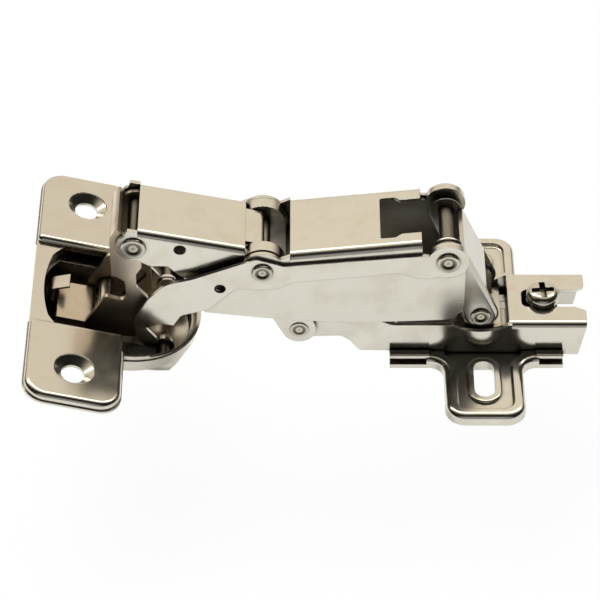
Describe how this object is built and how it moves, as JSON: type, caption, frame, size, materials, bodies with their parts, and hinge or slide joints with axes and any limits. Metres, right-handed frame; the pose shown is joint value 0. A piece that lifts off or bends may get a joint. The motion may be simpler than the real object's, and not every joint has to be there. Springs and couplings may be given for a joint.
{
  "type": "concealed cabinet hinge",
  "caption": "Concealed cabinet hinge: cup for the door, folding lever linkage, sliding arm with clamp screw and winged mounting plate, all of nickel-plated steel.",
  "frame": {"origin": "centre of the mounting plate's two screw slots, on the face that lies on the cabinet side panel", "axes": "+X along the arm towards its free end, +Z away from the panel, Y along the pivot pins"},
  "size_m": [0.1132, 0.0658, 0.0373],
  "materials": {
    "plate_nickel": "bright nickel plate",
    "arm_nickel": "bright nickel plate",
    "screw_zinc": "bright plate, cross recess",
    "lever_nickel": "bright nickel plate",
    "channel_nickel": "bright nickel plate",
    "hook_nickel": "bright nickel plate",
    "link_nickel": "bright nickel plate",
    "cup_nickel": "bright nickel plate",
    "housing_nickel": "bright nickel plate",
    "spring_steel": "bright spring steel",
    "pin_steel": "bright rivet steel"
  },
  "bodies": {
    "plate": {"mounting_plate": "plate_nickel"},
    "screw": {"clamp_screw": "screw_zinc"},
    "arm": {"hinge_arm": "arm_nickel", "arm_lever_pin": "pin_steel", "arm_link_pin": "pin_steel"},
    "inner_lever": {"inner_lever": "lever_nickel", "upper_pin": "pin_steel"},
    "outer_lever": {"outer_channel": "channel_nickel", "hook_plate_near": "hook_nickel", "hook_plate_far": "hook_nickel", "lever_link_pin": "pin_steel", "centre_pin": "pin_steel"},
    "arm_link": {"arm_link": "link_nickel"},
    "cup_link": {"cup_link": "link_nickel"},
    "cup": {"hinge_cup": "cup_nickel", "spring_housing": "housing_nickel", "cup_link_pin": "pin_steel", "cup_pivot_studs": "pin_steel", "closing_spring": "spring_steel"}
  },
  "joints": [
    {"name": "depth_slide", "type": "slide", "parent": "plate", "child": "arm", "axis": [1, 0, 0], "range_m": [-0.002, 0.002]},
    {"name": "clamp_turn", "type": "hinge", "parent": "plate", "child": "screw", "pos_m": [0.0123, 0, 0.0099], "axis": [0, 0, 1], "continuous": true},
    {"name": "fold", "type": "hinge", "parent": "arm", "child": "inner_lever", "pos_m": [-0.0375, 0, 0.0084], "axis": [0, -1, 0], "range_deg": [-37.5, 40]},
    {"name": "outer_swing", "type": "hinge", "parent": "inner_lever", "child": "outer_lever", "pos_m": [-0.0448, 0, 0.026], "axis": [0, -1, 0], "range_deg": [-40.1, 37.6]},
    {"name": "link_swing", "type": "hinge", "parent": "arm", "child": "arm_link", "pos_m": [-0.0007, 0, 0.0111], "axis": [0, -1, 0], "range_deg": [-37.6, 40.1]},
    {"name": "cup_turn", "type": "hinge", "parent": "outer_lever", "child": "cup", "pos_m": [-0.065, 0, 0.0055], "axis": [0, -1, 0], "range_deg": [-75.2, 80.2]},
    {"name": "cup_link_turn", "type": "hinge", "parent": "inner_lever", "child": "cup_link", "pos_m": [-0.0703, 0, 0.031], "axis": [0, -1, 0], "range_deg": [-48.1, 45.1]}
  ],
  "couplings": [
    {"joint": "outer_swing", "follows": "fold", "ratio": -1},
    {"joint": "link_swing", "follows": "fold", "ratio": 1},
    {"joint": "cup_turn", "follows": "fold", "ratio": 2},
    {"joint": "cup_link_turn", "follows": "fold", "ratio": -1.2}
  ]
}
